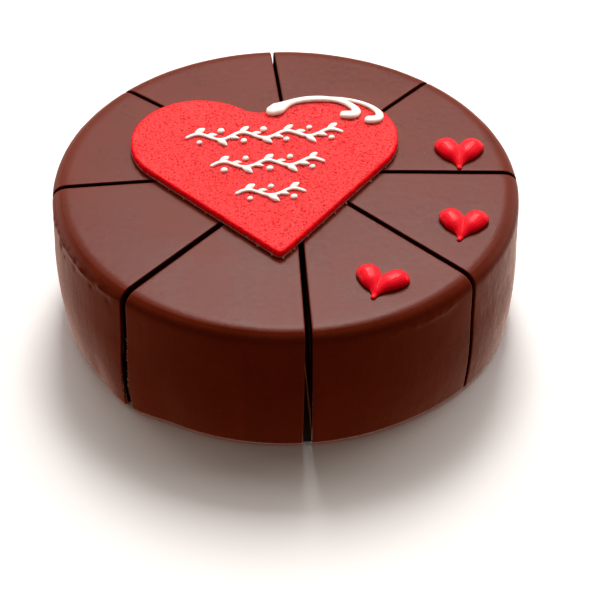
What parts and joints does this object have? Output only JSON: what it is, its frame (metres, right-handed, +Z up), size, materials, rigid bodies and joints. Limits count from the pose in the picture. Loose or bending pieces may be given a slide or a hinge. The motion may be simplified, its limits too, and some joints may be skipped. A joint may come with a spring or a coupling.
{
  "type": "sachertorte cake",
  "caption": "Round chocolate-glazed layer cake cut into slices that stand together, with a red biscuit heart, white piping and small piped hearts on top.",
  "frame": {"origin": "middle of the cake's flat underside, on the surface it rests on", "axes": "+Z up through the cake; -Y towards the heart's tip, +X towards the two small hearts that lie at the side"},
  "size_m": [0.24, 0.24, 0.0848],
  "materials": {
    "glaze": "set chocolate glaze, dark reddish brown with a soft gloss",
    "cream": "light brown nougat cream, satin",
    "sponge": "dark chocolate sponge, open crumb, dull",
    "biscuit": "red biscuit, porous and dull",
    "white_icing": "cream-white piped icing, glossy",
    "red_icing": "red piped chocolate, satin gloss"
  },
  "bodies": {
    "root": {"slice_1_glaze": "glaze", "slice_1_cream": "cream", "slice_1_sponge_upper": "sponge", "slice_1_sponge_lower": "sponge", "slice_2_glaze": "glaze", "slice_2_cream": "cream", "slice_2_sponge_upper": "sponge", "slice_2_sponge_lower": "sponge", "slice_3_glaze": "glaze", "slice_3_cream": "cream", "slice_3_sponge_upper": "sponge", "slice_3_sponge_lower": "sponge", "slice_4_glaze": "glaze", "slice_4_cream": "cream", "slice_4_sponge_upper": "sponge", "slice_4_sponge_lower": "sponge", "slice_5_glaze": "glaze", "slice_5_cream": "cream", "slice_5_sponge_upper": "sponge", "slice_5_sponge_lower": "sponge", "slice_6_glaze": "glaze", "slice_6_cream": "cream", "slice_6_sponge_upper": "sponge", "slice_6_sponge_lower": "sponge", "slice_7_glaze": "glaze", "slice_7_cream": "cream", "slice_7_sponge_upper": "sponge", "slice_7_sponge_lower": "sponge", "slice_8_glaze": "glaze", "slice_8_cream": "cream", "slice_8_sponge_upper": "sponge", "slice_8_sponge_lower": "sponge", "biscuit_heart": "biscuit", "scroll": "white_icing", "garland_upper": "white_icing", "garland_middle": "white_icing", "garland_lower": "white_icing", "small_heart_1": "red_icing", "small_heart_2": "red_icing", "small_heart_3": "red_icing"}
  },
  "joints": []
}
